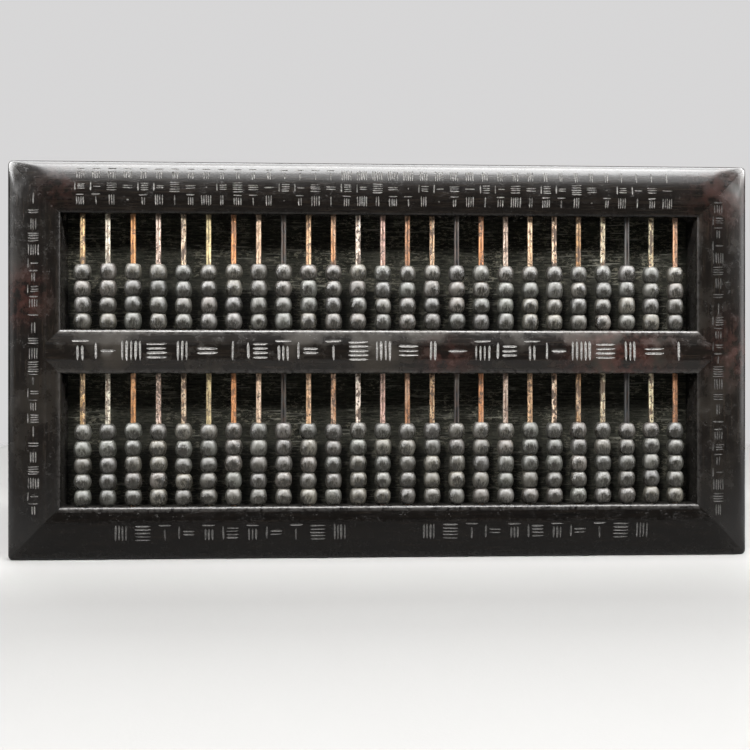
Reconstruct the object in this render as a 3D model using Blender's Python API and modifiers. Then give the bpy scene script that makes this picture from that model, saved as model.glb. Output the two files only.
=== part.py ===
"""A counting frame: a mitred hardwood tray, a dividing beam, metal rods and sliding beads.

It stands on its lower long edge and faces -Y. Lengths are in metres, +Z is up, and the
origin is under the middle of the lower edge. Depths are measured back from the front face.
"""

import math

import bmesh
import bpy
from mathutils import Matrix

# Columns and beads
COLUMN_COUNT = 25
UPPER_BEAD_COUNT = 4
LOWER_BEAD_COUNT = 5
BEAD_DIAMETER = 0.0095
BEAD_HEIGHT = 0.0089
BEAD_END_LAND = 0.0010
BEAD_SIDES = 8
BORE_CLEARANCE = 0.00035
COLUMN_GAP = 0.0039
END_COLUMN_GAP = 0.00595
UPPER_TRAVEL = 0.0258
LOWER_TRAVEL = 0.0259

# How far up the bead each ring of its barrel lies, and how far out from the end face's edge
BARREL_SHARES = ((0.0, 0.0), (0.25, 1.0), (0.75, 1.0), (1.0, 0.0))

# Rods
ROD_DIAMETER = 0.0030
ROD_SOCKET_DEPTH = 0.0060
ROD_SIDES = 6

# Frame members
MEMBER_WIDTH = 0.0285
ROUNDING_DEPTH = 0.0070
ROUNDING_STEPS = 6
INNER_BEVEL_WIDTH = 0.0075
INNER_BEVEL_DEPTH = 0.0014
ARRIS_WIDTH = 0.0015
ARRIS_DEPTH = 0.0030
BACK_CHAMFER = 0.0015
BACK_LIP = 0.0030

# Corner tenons, on the rails
TENON_SET_IN = 0.0080
TENON_WIDTH = 0.0110
TENON_THICKNESS = 0.0070
TENON_DEPTH = 0.0100
TENON_END_WALL = 0.0045

# Beam
BEAM_HEIGHT = 0.0234

# Back panel, in grooves
PANEL_THICKNESS = 0.0035
GROOVE_DEPTH = 0.0050

# How deep the beads lie in the tray
BEAD_SET_BACK = 0.0022
BEAD_BACK_GAP = 0.0098

# Clearance between pieces that seat on each other, overrun of every cut, and welding distance
FIT_GAP = 0.0003
OVERRUN = 0.0020
WELD_DISTANCE = 0.000005

# Places that follow from the sizes
BEAD_RADIUS = BEAD_DIAMETER / 2
ROD_RADIUS = ROD_DIAMETER / 2
BORE_RADIUS = (ROD_RADIUS + BORE_CLEARANCE) / math.cos(math.pi / BEAD_SIDES)
BEAD_END_RADIUS = BORE_RADIUS + BEAD_END_LAND
SOCKET_RADIUS = ROD_RADIUS + FIT_GAP / math.cos(math.pi / ROD_SIDES)
COLUMN_PITCH = BEAD_DIAMETER + COLUMN_GAP
COLUMN_PLACES = [(column - (COLUMN_COUNT - 1) / 2) * COLUMN_PITCH for column in range(COLUMN_COUNT)]

OPENING_WIDTH = (COLUMN_COUNT - 1) * COLUMN_PITCH + BEAD_DIAMETER + 2 * END_COLUMN_GAP
FRAME_WIDTH = OPENING_WIDTH + 2 * MEMBER_WIDTH
UPPER_DECK = UPPER_BEAD_COUNT * BEAD_HEIGHT + UPPER_TRAVEL + 2 * FIT_GAP
LOWER_DECK = LOWER_BEAD_COUNT * BEAD_HEIGHT + LOWER_TRAVEL + 2 * FIT_GAP
LOWER_FLOOR = MEMBER_WIDTH
BEAM_BOTTOM = LOWER_FLOOR + LOWER_DECK
UPPER_FLOOR = BEAM_BOTTOM + BEAM_HEIGHT
OPENING_HEIGHT = LOWER_DECK + BEAM_HEIGHT + UPPER_DECK
FRAME_HEIGHT = OPENING_HEIGHT + 2 * MEMBER_WIDTH

ROD_AXIS_DEPTH = BEAD_SET_BACK + BEAD_RADIUS
PANEL_FRONT_DEPTH = ROD_AXIS_DEPTH + BEAD_RADIUS + BEAD_BACK_GAP
PANEL_BACK_DEPTH = PANEL_FRONT_DEPTH + PANEL_THICKNESS
BEAM_BACK_DEPTH = PANEL_FRONT_DEPTH - FIT_GAP
FRAME_DEPTH = PANEL_BACK_DEPTH + BACK_LIP
FRONT_Y = -FRAME_DEPTH / 2
ROD_Y = FRONT_Y + ROD_AXIS_DEPTH
MITRE_CUT = FIT_GAP / math.sqrt(2)


def clear_scene():
    for found in list(bpy.data.objects):
        bpy.data.objects.remove(found)


def new_collection(name, hidden=False):
    collection = bpy.data.collections.new(name)
    collection.hide_render = hidden
    bpy.context.scene.collection.children.link(collection)
    return collection


def new_material(name, colour, roughness, metallic=0.0):
    material = bpy.data.materials.new(name)
    material.use_nodes = True
    shader = material.node_tree.nodes["Principled BSDF"]
    shader.inputs["Base Color"].default_value = (*colour, 1.0)
    shader.inputs["Roughness"].default_value = roughness
    shader.inputs["Metallic"].default_value = metallic
    material.diffuse_color = (*colour, 1.0)
    return material


def finish_mesh(mesh, build):
    """Writes a bmesh into the mesh, welded and with its faces pointing out."""
    bmesh.ops.remove_doubles(build, verts=build.verts, dist=WELD_DISTANCE)
    bmesh.ops.recalc_face_normals(build, faces=build.faces)
    build.to_mesh(mesh)
    build.free()
    return mesh


def new_part(name, mesh, material, location=(0, 0, 0), turn=0.0):
    """An object of the model, turned about the front-to-back axis."""
    mesh.materials.clear()
    mesh.materials.append(material)
    part = bpy.data.objects.new(name, mesh)
    part.location = location
    part.rotation_euler = (0, turn, 0)
    part.parent = whole
    parts.objects.link(part)
    return part


def new_cutter(name, mesh, location=(0, 0, 0)):
    cutter = bpy.data.objects.new(name, mesh)
    cutter.location = location
    cutter.hide_render = True
    cutter.display_type = "WIRE"
    cutters.objects.link(cutter)
    return cutter


def combine(part, other, operation):
    modifier = part.modifiers.new(other.name, "BOOLEAN")
    modifier.operation = operation
    modifier.solver = "EXACT"
    modifier.material_mode = "TRANSFER"
    modifier.object = other


def outline_mesh(name, outline, half_thickness):
    """A flat outline in X and Y, extruded both ways along Z."""
    curve = bpy.data.curves.new(name, "CURVE")
    curve.dimensions = "2D"
    curve.fill_mode = "BOTH"
    curve.extrude = half_thickness
    spline = curve.splines.new("POLY")
    spline.points.add(len(outline) - 1)
    for point, (x, y) in zip(spline.points, outline):
        point.co = (x, y, 0, 1)
    spline.use_cyclic_u = True
    drawn = bpy.data.objects.new(name + "_outline", curve)
    cutters.objects.link(drawn)
    graph = bpy.context.evaluated_depsgraph_get()
    mesh = bpy.data.meshes.new_from_object(drawn.evaluated_get(graph))
    mesh.name = name
    bpy.data.objects.remove(drawn)
    build = bmesh.new()
    build.from_mesh(mesh)
    return finish_mesh(mesh, build)


def box_mesh(name, low, high):
    """A box between two corners."""
    size = [b - a for a, b in zip(low, high)]
    middle = [(a + b) / 2 for a, b in zip(low, high)]
    build = bmesh.new()
    bmesh.ops.create_cube(build, size=1.0, matrix=Matrix.Translation(middle) @ Matrix.Diagonal((*size, 1)))
    return finish_mesh(bpy.data.meshes.new(name), build)


def column_row_mesh(name, radius, low, high):
    """One upright cylinder a column, all between two heights."""
    build = bmesh.new()
    for x in COLUMN_PLACES:
        bmesh.ops.create_cone(
            build,
            cap_ends=True,
            segments=ROD_SIDES,
            radius1=radius,
            radius2=radius,
            depth=high - low,
            matrix=Matrix.Translation((x, 0, (low + high) / 2)),
        )
    return finish_mesh(bpy.data.meshes.new(name), build)


def moulded_bar(name, section, half_length):
    """A bar along X with this section of (depth, inward) points.

    half_length gives each inward place the distance from the middle to the bar's end, so
    mitres come from sliding the end points along the bar.
    """
    mesh = outline_mesh(name, section, FRAME_WIDTH)
    lay_along_x = Matrix(((0, 0, 1, 0), (1, 0, 0, 0), (0, 1, 0, 0), (0, 0, 0, 1)))
    mesh.transform(lay_along_x)
    for vertex in mesh.vertices:
        end = half_length(vertex.co.z)
        vertex.co.x = math.copysign(end, vertex.co.x)
        vertex.co.y += FRONT_Y
    mesh.update()
    return mesh


def frame_section():
    """The frame's moulding as (depth, inward), from the outer back edge round the front."""
    crest = MEMBER_WIDTH - INNER_BEVEL_WIDTH
    outline = [(FRAME_DEPTH, BACK_CHAMFER), (FRAME_DEPTH - BACK_CHAMFER, 0)]
    for step in range(ROUNDING_STEPS + 1):
        turn = math.pi / 2 * step / ROUNDING_STEPS
        depth = ROUNDING_DEPTH * (1 - math.sin(turn))
        inward = crest * (1 - math.cos(turn))
        outline.append((depth, inward))
    outline += [
        (INNER_BEVEL_DEPTH, MEMBER_WIDTH - ARRIS_WIDTH),
        (ARRIS_DEPTH, MEMBER_WIDTH),
        (PANEL_FRONT_DEPTH - FIT_GAP, MEMBER_WIDTH),
        (PANEL_FRONT_DEPTH - FIT_GAP, MEMBER_WIDTH - GROOVE_DEPTH),
        (PANEL_BACK_DEPTH + FIT_GAP, MEMBER_WIDTH - GROOVE_DEPTH),
        (PANEL_BACK_DEPTH + FIT_GAP, MEMBER_WIDTH),
        (FRAME_DEPTH, MEMBER_WIDTH),
    ]
    return outline


def beam_section():
    """The beam's moulding: bevelled on both long edges, flat in the middle and at the back."""
    half = BEAM_HEIGHT / 2
    flat = half - INNER_BEVEL_WIDTH
    return [
        (BEAM_BACK_DEPTH, -half),
        (ARRIS_DEPTH, -half),
        (INNER_BEVEL_DEPTH, ARRIS_WIDTH - half),
        (0, -flat),
        (0, flat),
        (INNER_BEVEL_DEPTH, half - ARRIS_WIDTH),
        (ARRIS_DEPTH, half),
        (BEAM_BACK_DEPTH, half),
        (BEAM_BACK_DEPTH, flat),
        (BEAM_BACK_DEPTH, -flat),
    ]


def make_rail(name, height, turn):
    """A long member: mitred, grooved, with a tenon at each end and a socket for each rod."""
    bar = moulded_bar(name, frame_section(), lambda inward: FRAME_WIDTH / 2 - inward - MITRE_CUT)
    rail = new_part(name, bar, ebony, (0, 0, height), turn)
    inner_end = FRAME_WIDTH / 2 - TENON_SET_IN - TENON_WIDTH - OVERRUN
    outer_end = FRAME_WIDTH / 2 - TENON_END_WALL
    for side, ends in (("left", (-outer_end, -inner_end)), ("right", (inner_end, outer_end))):
        low = (ends[0], FRONT_Y + TENON_DEPTH, TENON_SET_IN)
        high = (ends[1], FRONT_Y + TENON_DEPTH + TENON_THICKNESS, TENON_SET_IN + TENON_WIDTH)
        tenon = new_cutter(f"{name}_{side}_tenon", box_mesh(f"{name}_{side}_tenon", low, high))
        tenon.matrix_world = Matrix.Translation((0, 0, height)) @ Matrix.Rotation(turn, 4, "Y")
        combine(rail, tenon, "UNION")
    return rail


def drill_rail(rail, low, high):
    drill = new_cutter(rail.name + "_sockets", column_row_mesh(rail.name + "_sockets", SOCKET_RADIUS, low, high))
    drill.location.y = ROD_Y
    combine(rail, drill, "DIFFERENCE")


def make_stile(name, side):
    """A short member: mitred, grooved, mortised for the rails and notched for the beam."""
    bar = moulded_bar(name, frame_section(), lambda inward: FRAME_HEIGHT / 2 - inward - MITRE_CUT)
    stile = new_part(name, bar, ebony, (side * FRAME_WIDTH / 2, 0, FRAME_HEIGHT / 2), -side * math.pi / 2)
    for end, floor in (("lower", TENON_SET_IN), ("upper", FRAME_HEIGHT - TENON_SET_IN - TENON_WIDTH)):
        inner = FRAME_WIDTH / 2 - TENON_SET_IN - TENON_WIDTH - 2 * OVERRUN
        outer = FRAME_WIDTH / 2 - TENON_END_WALL + FIT_GAP
        low = (min(side * inner, side * outer), FRONT_Y + TENON_DEPTH - FIT_GAP, floor - FIT_GAP)
        high = (
            max(side * inner, side * outer),
            FRONT_Y + TENON_DEPTH + TENON_THICKNESS + FIT_GAP,
            floor + TENON_WIDTH + FIT_GAP,
        )
        mortise = f"{name}_{end}_mortise"
        combine(stile, new_cutter(mortise, box_mesh(mortise, low, high)), "DIFFERENCE")
    combine(stile, make_notch(name + "_notch", side), "DIFFERENCE")
    return stile


def make_notch(name, side):
    """The room for one end of the beam: its mitred tongue with the fitting gap all round."""
    root = BEAM_HEIGHT / 2 + FIT_GAP * math.sqrt(2) + OVERRUN
    reach = INNER_BEVEL_WIDTH + FIT_GAP
    tip = root - OVERRUN - reach
    start = OPENING_WIDTH / 2 - OVERRUN
    end = OPENING_WIDTH / 2 + reach
    outline = [(side * start, -root), (side * end, -tip), (side * end, tip), (side * start, root)]
    half_depth = (BEAM_BACK_DEPTH + FIT_GAP + OVERRUN) / 2
    mesh = outline_mesh(name, outline, half_depth)
    mesh.transform(Matrix.Rotation(math.pi / 2, 4, "X"))
    return new_cutter(name, mesh, (0, FRONT_Y - OVERRUN + half_depth, BEAM_BOTTOM + BEAM_HEIGHT / 2))


def make_beam_and_rods():
    """The beam with every rod driven through it, as it comes out of the frame."""
    half = BEAM_HEIGHT / 2
    bar = moulded_bar("beam_and_rods", beam_section(), lambda up: OPENING_WIDTH / 2 + half - abs(up))
    beam = new_part("beam_and_rods", bar, ebony, (0, 0, BEAM_BOTTOM + half))
    low = LOWER_FLOOR - ROD_SOCKET_DEPTH + FIT_GAP
    high = FRAME_HEIGHT - low
    rods = new_cutter("rods", column_row_mesh("rods", ROD_RADIUS, low, high), (0, ROD_Y, 0))
    rods.data.materials.append(rod_metal)
    combine(beam, rods, "UNION")
    return beam


def make_panel():
    """The thin board that closes the back, loose in its grooves."""
    edge = GROOVE_DEPTH - FIT_GAP
    low = (-OPENING_WIDTH / 2 - edge, FRONT_Y + PANEL_FRONT_DEPTH, MEMBER_WIDTH - edge)
    high = (OPENING_WIDTH / 2 + edge, FRONT_Y + PANEL_BACK_DEPTH, FRAME_HEIGHT - MEMBER_WIDTH + edge)
    return new_part("back_panel", box_mesh("back_panel", low, high), panel_wood)


def stack_profile(name, bead_count):
    """Half the section of a stack of beads: down the barrels, in, and up the bore."""
    outline = []
    for bead in range(bead_count):
        for height_share, swell_share in BARREL_SHARES[bead > 0 :]:
            radius = BEAD_END_RADIUS + (BEAD_RADIUS - BEAD_END_RADIUS) * swell_share
            outline.append((radius, (bead + height_share) * BEAD_HEIGHT))
    outline.reverse()
    outline += [(BORE_RADIUS, 0), (BORE_RADIUS, bead_count * BEAD_HEIGHT)]
    mesh = bpy.data.meshes.new(name)
    edges = [(i, (i + 1) % len(outline)) for i in range(len(outline))]
    mesh.from_pydata([(radius, 0, height) for radius, height in outline], edges, [])
    return mesh


def make_stacks(name, bead_count, floor):
    """A stack of beads on each rod, resting at the bottom of its deck."""
    profile = stack_profile(name, bead_count)
    for column, x in enumerate(COLUMN_PLACES, start=1):
        stack = new_part(f"{name}_{column:02d}", profile, bead_wood, (x, ROD_Y, floor + FIT_GAP))
        turned = stack.modifiers.new("turned", "SCREW")
        turned.steps = BEAD_SIDES
        turned.render_steps = BEAD_SIDES
        turned.use_merge_vertices = True
        turned.merge_threshold = WELD_DISTANCE


clear_scene()
parts = new_collection("abacus")
cutters = new_collection("cutters", hidden=True)
whole = bpy.data.objects.new("abacus", None)
parts.objects.link(whole)

ebony = new_material("ebony", (0.030, 0.024, 0.021), 0.35)
panel_wood = new_material("panel_wood", (0.022, 0.019, 0.017), 0.70)
rod_metal = new_material("rod_metal", (0.50, 0.33, 0.18), 0.45, 1.0)
bead_wood = new_material("bead_wood", (0.16, 0.16, 0.145), 0.75)

top_rail = make_rail("top_rail", FRAME_HEIGHT, math.pi)
bottom_rail = make_rail("bottom_rail", 0, 0.0)
drill_rail(top_rail, UPPER_FLOOR + UPPER_DECK - OVERRUN, UPPER_FLOOR + UPPER_DECK + ROD_SOCKET_DEPTH)
drill_rail(bottom_rail, LOWER_FLOOR - ROD_SOCKET_DEPTH, LOWER_FLOOR + OVERRUN)
make_stile("left_stile", -1)
make_stile("right_stile", 1)
make_beam_and_rods()
make_panel()
make_stacks("upper_beads", UPPER_BEAD_COUNT, UPPER_FLOOR)
make_stacks("lower_beads", LOWER_BEAD_COUNT, LOWER_FLOOR)
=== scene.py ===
# %% [markdown]
# # An old counting frame
# A counting frame is a shallow hardwood tray. A beam divides it into two decks, rods run
# through both, and barrel beads slide on the rods. The working model is already there, with
# its plain solids and its joints. This notebook dresses it: every cell makes one piece or one
# finish, and says why it is made that way. Lengths are in millimetres until a mesh is written.

# %% Load the working model
import math
import random
from collections import namedtuple

import bmesh
import bpy
import numpy as np
from mathutils import Matrix, Vector, noise
from mathutils.bvhtree import BVHTree


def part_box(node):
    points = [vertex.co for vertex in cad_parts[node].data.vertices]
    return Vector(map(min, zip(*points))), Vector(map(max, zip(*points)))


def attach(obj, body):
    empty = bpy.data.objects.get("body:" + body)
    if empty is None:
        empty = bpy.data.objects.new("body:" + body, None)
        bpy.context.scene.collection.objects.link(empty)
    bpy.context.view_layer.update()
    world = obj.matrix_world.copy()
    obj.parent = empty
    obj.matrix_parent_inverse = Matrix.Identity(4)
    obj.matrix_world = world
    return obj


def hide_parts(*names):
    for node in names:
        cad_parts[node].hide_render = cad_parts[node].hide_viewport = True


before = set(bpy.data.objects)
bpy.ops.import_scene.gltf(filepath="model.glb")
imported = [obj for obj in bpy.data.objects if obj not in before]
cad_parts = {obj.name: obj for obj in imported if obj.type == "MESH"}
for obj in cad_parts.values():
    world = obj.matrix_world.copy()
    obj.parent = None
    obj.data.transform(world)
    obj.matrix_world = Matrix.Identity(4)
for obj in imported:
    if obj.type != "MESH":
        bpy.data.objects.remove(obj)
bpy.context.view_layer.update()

MM = 0.001


# %% [markdown]
# ## Reading sizes from the model
# The dressing must sit on the working parts, so places are read from their boxes instead of
# being typed again. Only what a box can't tell, such as the beam's height inside the comb of
# beam and rods, is a named value here.

# %% Sizes of the tray
def box(node):
    """Lowest and highest corner of a node, in millimetres."""
    return [[value / MM for value in corner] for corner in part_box(node)]


FRONT, BACK = box("left_stile")[0][1], box("left_stile")[1][1]
WIDTH = box("right_stile")[1][0] - box("left_stile")[0][0]
HEIGHT = box("left_stile")[1][2]
MEMBER = box("left_stile")[1][0] - box("left_stile")[0][0]
OPENING = WIDTH - 2 * MEMBER
SEAT_GAP = 0.3
BEAM_HEIGHT = 23.4
UPPER_FLOOR = box("upper_beads_01")[0][2] - SEAT_GAP
BEAM_MIDDLE = UPPER_FLOOR - BEAM_HEIGHT / 2
COLUMNS = sum(name.startswith("upper_beads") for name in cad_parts)
STACKS = [box(f"upper_beads_{column:02d}") for column in range(1, COLUMNS + 1)]
PLACES = [(low[0] + high[0]) / 2 for low, high in STACKS]
ROD_Y = (box("upper_beads_01")[0][1] + box("upper_beads_01")[1][1]) / 2
PANEL_LOW, PANEL_HIGH = box("back_panel")
ROD_LOW, ROD_HIGH = box("beam_and_rods")[0][2], box("beam_and_rods")[1][2]
print(f"tray {WIDTH:.1f} x {HEIGHT:.1f} mm, members {MEMBER:.1f} mm, {COLUMNS} rods")


# %% [markdown]
# ## Camera
# The picture is taken square on, from about 0.6 m, a little left of the middle and at half the
# tray's height. A square-on view keeps the long rails parallel. The lens is given in
# millimetres for a 36 mm wide film, so it doesn't depend on the picture's size.

# %% Place the camera
CAMERA_PLACE = (-0.0374, -0.634, 0.0988)
CAMERA_TURN = -3.03
LENS = 55.6
FILM_WIDTH = 36.0


def placed(name, data):
    """A new object of the scene that holds this mesh, lamp or camera."""
    made = bpy.data.objects.new(name, data)
    bpy.context.scene.collection.objects.link(made)
    return made


def place_camera():
    film = bpy.data.cameras.new("camera")
    film.lens = LENS
    film.sensor_width = FILM_WIDTH
    film.clip_start = 0.01
    film.clip_end = 50.0
    camera = placed("camera", film)
    camera.location = CAMERA_PLACE
    camera.rotation_euler = (math.radians(90), 0, math.radians(CAMERA_TURN))
    bpy.context.scene.camera = camera


place_camera()
bpy.context.scene.view_settings.view_transform = "Standard"
print("camera at", CAMERA_PLACE)


# %% [markdown]
# ## Shader sums
# A finish is a graph of nodes, which is long to write and hard to read. So a socket is wrapped
# in a small class, and sums on it add the Math nodes: `1 - mask` or `rub * 0.4 + grain`. Every
# other node comes from one method that takes its type, its settings and its sockets.

# %% The socket and the finish
class Wire:
    """One output socket of a finish. A sum on it adds a Math node."""

    def __init__(self, finish, socket):
        self.finish = finish
        self.socket = socket

    def math(self, operation, first, second):
        return self.finish.node("ShaderNodeMath", {"operation": operation}, {0: first, 1: second})

    def __add__(self, other):
        return self.math("ADD", self, other)

    def __radd__(self, other):
        return self.math("ADD", other, self)

    def __sub__(self, other):
        return self.math("SUBTRACT", self, other)

    def __rsub__(self, other):
        return self.math("SUBTRACT", other, self)

    def __mul__(self, other):
        return self.math("MULTIPLY", self, other)

    def __rmul__(self, other):
        return self.math("MULTIPLY", other, self)

    def at_most(self, other):
        return self.math("MINIMUM", self, other)

    def at_least(self, other):
        return self.math("MAXIMUM", self, other)

    def between(self, low, high):
        """0 below low, 1 above high, and smooth in between."""
        settings = {"interpolation_type": "SMOOTHSTEP"}
        sockets = {"Value": self, "From Min": low, "From Max": high}
        return self.finish.node("ShaderNodeMapRange", settings, sockets)


class Finish:
    """A node material. What is the same all over goes on the shader's own sockets."""

    def __init__(self, name, **fixed):
        self.material = bpy.data.materials.new(name)
        self.material.use_nodes = True
        self.tree = self.material.node_tree
        self.shader = self.tree.nodes["Principled BSDF"]
        for socket, value in fixed.items():
            self.shader.inputs[socket.replace("_", " ")].default_value = value
        self.place = self.node("ShaderNodeTexCoord", output="Object")

    def node(self, kind, settings=None, sockets=None, output=0):
        made = self.tree.nodes.new(kind)
        for name, value in (settings or {}).items():
            if name == "stops":
                self.set_stops(made.color_ramp, value)
            else:
                setattr(made, name, value)
        for name, value in (sockets or {}).items():
            self.feed(made.inputs[name], value)
        return Wire(self, made.outputs[output])

    def set_stops(self, ramp, stops):
        while len(ramp.elements) < len(stops):
            ramp.elements.new(1.0)
        for element, (place, colour) in zip(ramp.elements, stops):
            element.position = place
            element.color = (*colour, 1.0)

    def feed(self, socket, value):
        if isinstance(value, Wire):
            self.tree.links.new(value.socket, socket)
        elif isinstance(value, tuple) and len(value) == 3 and socket.type == "RGBA":
            socket.default_value = (*value, 1.0)
        else:
            socket.default_value = value

    def mix(self, share, first, second):
        """Two colours mixed. The colour sockets of a Mix node are numbers 6 and 7."""
        sockets = {0: share, 6: first, 7: second}
        return self.node("ShaderNodeMix", {"data_type": "RGBA"}, sockets, output=2)

    def stretched(self, stretch, shift=(0, 0, 0)):
        """The place on the piece, squeezed along each axis."""
        sockets = {"Vector": self.place, "Scale": stretch, "Location": shift}
        return self.node("ShaderNodeMapping", None, sockets)

    def distance_to(self, place):
        """How far away this place is, in metres."""
        sockets = {0: self.place, 1: place}
        return self.node("ShaderNodeVectorMath", {"operation": "DISTANCE"}, sockets, output="Value")

    def cloud(self, size, detail=3.0, place=None, sharp=0.5):
        """Noise whose lumps are about this many millimetres across."""
        scale = 1 / (size * MM)
        sockets = {"Vector": place or self.place, "Scale": scale, "Detail": detail, "Roughness": sharp}
        return self.node("ShaderNodeTexNoise", None, sockets)

    def attribute(self, name, output="Color"):
        return self.node("ShaderNodeAttribute", {"attribute_name": name}, None, output)

    def split(self, wire):
        """The three parts of a colour or a vector."""
        parts = self.node("ShaderNodeSeparateXYZ", None, {"Vector": wire})
        return [Wire(self, socket) for socket in parts.socket.node.outputs]

    def bumps(self, height, depth, below=None):
        """Small relief of this depth in millimetres."""
        sockets = {"Height": height, "Strength": 1.0, "Distance": depth * MM}
        if below:
            sockets["Normal"] = below
        return self.node("ShaderNodeBump", None, sockets)

    def finish_with(self, **wires):
        for socket, wire in wires.items():
            self.feed(self.shader.inputs[socket.replace("_", " ")], wire)
        return self.material


print("shader sums ready")


# %% [markdown]
# ## Ebony
# The tray is dense black wood, polished by handling. Old ebony isn't one black: brown streaks
# run along the grain, hands rub the corners and the beam to a reddish brown, and dust
# dulls it in patches. It is blackest near its foot. Its arrises are painted pale: partly wear, and
# partly a painted highlight on the edges that face up and a painted reflection on the bottom rail's
# outer rounding. A picture of wood would need unwrapping, so the grain is stretched noise on the
# piece's own place, and the pale edges come from numbers that the moulding's own code writes on the mesh.
# The members haven't aged alike: the beam and the stiles keep their dust, and the rails are
# wiped. So one function makes four ebonies.

# %% The frame's finish
# Place across and up, size and strength of each rubbed spot
RUBBED = (
    (-194, 140, 24, 0.7),
    (-172, 199, 18, 0.25),
    (186, 196, 30, 0.35),
    (197, 112, 30, 0.5),
    (34, 106, 22, 0.45),
    (128, 104, 46, 0.55),
)
GRAIN = (
    (0.30, (0.0032, 0.0027, 0.0024)),
    (0.55, (0.0066, 0.0052, 0.0041)),
    (0.80, (0.0170, 0.0122, 0.0088)),
)
BLACK = (0.0, 0.0, 0.0)
DUST = (0.0225, 0.0188, 0.0145)
SCRATCHED = (0.050, 0.046, 0.042)
HAND_RED = (0.060, 0.021, 0.016)
PALE_WEAR_AND_HIGHLIGHT = (0.20, 0.19, 0.18)
FLECKED = (0.17, 0.165, 0.155)
LEVEL_GRAIN, UPRIGHT_GRAIN = (0.06, 1.0, 1.0), (1.0, 1.0, 0.06)


def ebony(name, stretch, shift, dust, shine):
    """Black wood with its grain along the squeezed axis, and its shares of dust and shine."""
    wood = Finish(name, IOR=1.28, Coat_Roughness=0.16, Specular_IOR_Level=0.5 * shine)
    along = wood.stretched(stretch, shift)
    streaks = wood.cloud(1.1, 4.0, along, 0.62)
    pores = wood.cloud(0.32, 2.0, along, 0.5)
    patches = wood.cloud(22.0, 4.0)
    smears = wood.cloud(6.0, 5.0, None, 0.65)
    worn, scuffed, _ = wood.split(wood.attribute("worn"))

    colour = wood.node("ShaderNodeValToRGB", {"stops": GRAIN}, {"Fac": streaks})
    _, _, height = wood.split(wood.place)
    colour = wood.mix(0.55 * (1 - height.between(0.015, 0.075)), colour, BLACK)
    dusty = dust * (patches.between(0.48, 0.68) * 0.35 + smears.between(0.50, 0.75) * 0.22)
    dusty = dusty * (0.2 + 0.8 * height.between(0.01, 0.09))
    colour = wood.mix(dusty, colour, DUST)
    scratches = wood.cloud(0.5, 3.0, wood.stretched((0.5, 1.0, 1.3)), 0.7).between(0.60, 0.68)
    scratches = scratches * smears.between(0.44, 0.62)
    colour = wood.mix(scratches * 0.45, colour, SCRATCHED)

    rub = None
    for x, z, size, strength in RUBBED:
        spot = wood.distance_to((x * MM, FRONT * MM, z * MM))
        near = strength * (1 - spot.between(0.0, size * MM))
        rub = near if rub is None else rub.at_least(near)
    rub = rub * smears.between(0.36, 0.66)
    colour = wood.mix(rub, colour, HAND_RED)

    # Pale paint on the edges: partly wear, partly a painted highlight on the up-facing arrises and a painted
    # reflection on the bottom rail's outer rounding.
    pale_wear_and_highlight = worn * wood.cloud(2.4, 4.0, None, 0.7).between(0.34, 0.60)
    colour = wood.mix(pale_wear_and_highlight * 0.45, colour, PALE_WEAR_AND_HIGHLIGHT)
    flecks = wood.cloud(0.45, 3.0, wood.stretched((0.35, 1.0, 0.8)), 0.6).between(0.66, 0.72)
    flecks = flecks * patches.between(0.42, 0.60) * scuffed
    colour = wood.mix(flecks * 0.6, colour, FLECKED)

    roughness = 0.17 + 0.14 * smears + 0.18 * dusty - 0.05 * rub + 0.10 * flecks
    coat = (0.20 * shine - 0.2 * dusty - 0.2 * flecks).at_least(0.0)
    height = 0.55 * streaks + 0.30 * pores + 0.5 * smears - 0.4 * flecks - 0.5 * scratches
    relief = wood.bumps(height, 0.08)
    return wood.finish_with(Base_Color=colour, Roughness=roughness, Coat_Weight=coat, Normal=relief)


TOP_EBONY = ebony("ebony_top", LEVEL_GRAIN, (0.0, 0.0, 0.0), 0.0, 0.75)
BOTTOM_EBONY = ebony("ebony_bottom", LEVEL_GRAIN, (0.0, 0.0, 0.0), 0.1, 0.6)
BEAM_EBONY = ebony("ebony_beam", LEVEL_GRAIN, (0.2, 0.0, 0.2), 2.5, 1.0)
STILE_EBONY = ebony("ebony_stile", UPRIGHT_GRAIN, (0.3, 0.0, 0.1), 1.1, 1.0)
print("four ebonies: dusty beam and stiles, wiped rails")


# %% [markdown]
# ## Filled engraving
# The numerals are cut with a small gouge and rubbed with pale chalk paste. The paste has
# gone in places, so it is mottled and quite rough, and darker dirt shows between. It has kept
# best on the top rail and the beam, so one function makes three shares of it.

# %% The paste in the cuts
PASTE_DARK, PASTE_PALE = (0.13, 0.125, 0.118), (0.37, 0.36, 0.345)


def chalk_paste(name, strength):
    """Paste that has kept this share of its paleness."""
    paste = Finish(name, Specular_IOR_Level=0.15)
    lumps = paste.cloud(0.9, 4.0, None, 0.7)
    lost = paste.cloud(5.0, 3.0, None, 0.6).between(0.56, 0.70)
    low, high = (tuple(part * strength for part in tone) for tone in (PASTE_DARK, PASTE_PALE))
    colour = paste.mix(lumps.between(0.35, 0.70), low, high)
    colour = paste.mix(lost * 0.8, colour, tuple(part * 0.35 for part in low))
    return paste.finish_with(Base_Color=colour, Roughness=0.78 + 0.2 * lumps, Normal=paste.bumps(lumps, 0.08))


CLEAR_PASTE = chalk_paste("paste_clear", 1.0)
DULL_PASTE = chalk_paste("paste_dull", 0.74)
FAINT_PASTE = chalk_paste("paste_faint", 0.34)
print("three shares of chalk paste")


# %% [markdown]
# ## A moulded bar
# A moulding is one section run along a bar. Real frames are cut from such a bar with mitred
# ends, and then the corners are eased by hand until the outer roundings flow into each
# other. A bevelled curve could run the section, but its corners can't be eased. So the
# section's points are laid at stations along the bar: the end points slide to make the mitre,
# and near a corner each line of the moulding turns on its own small radius.

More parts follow.
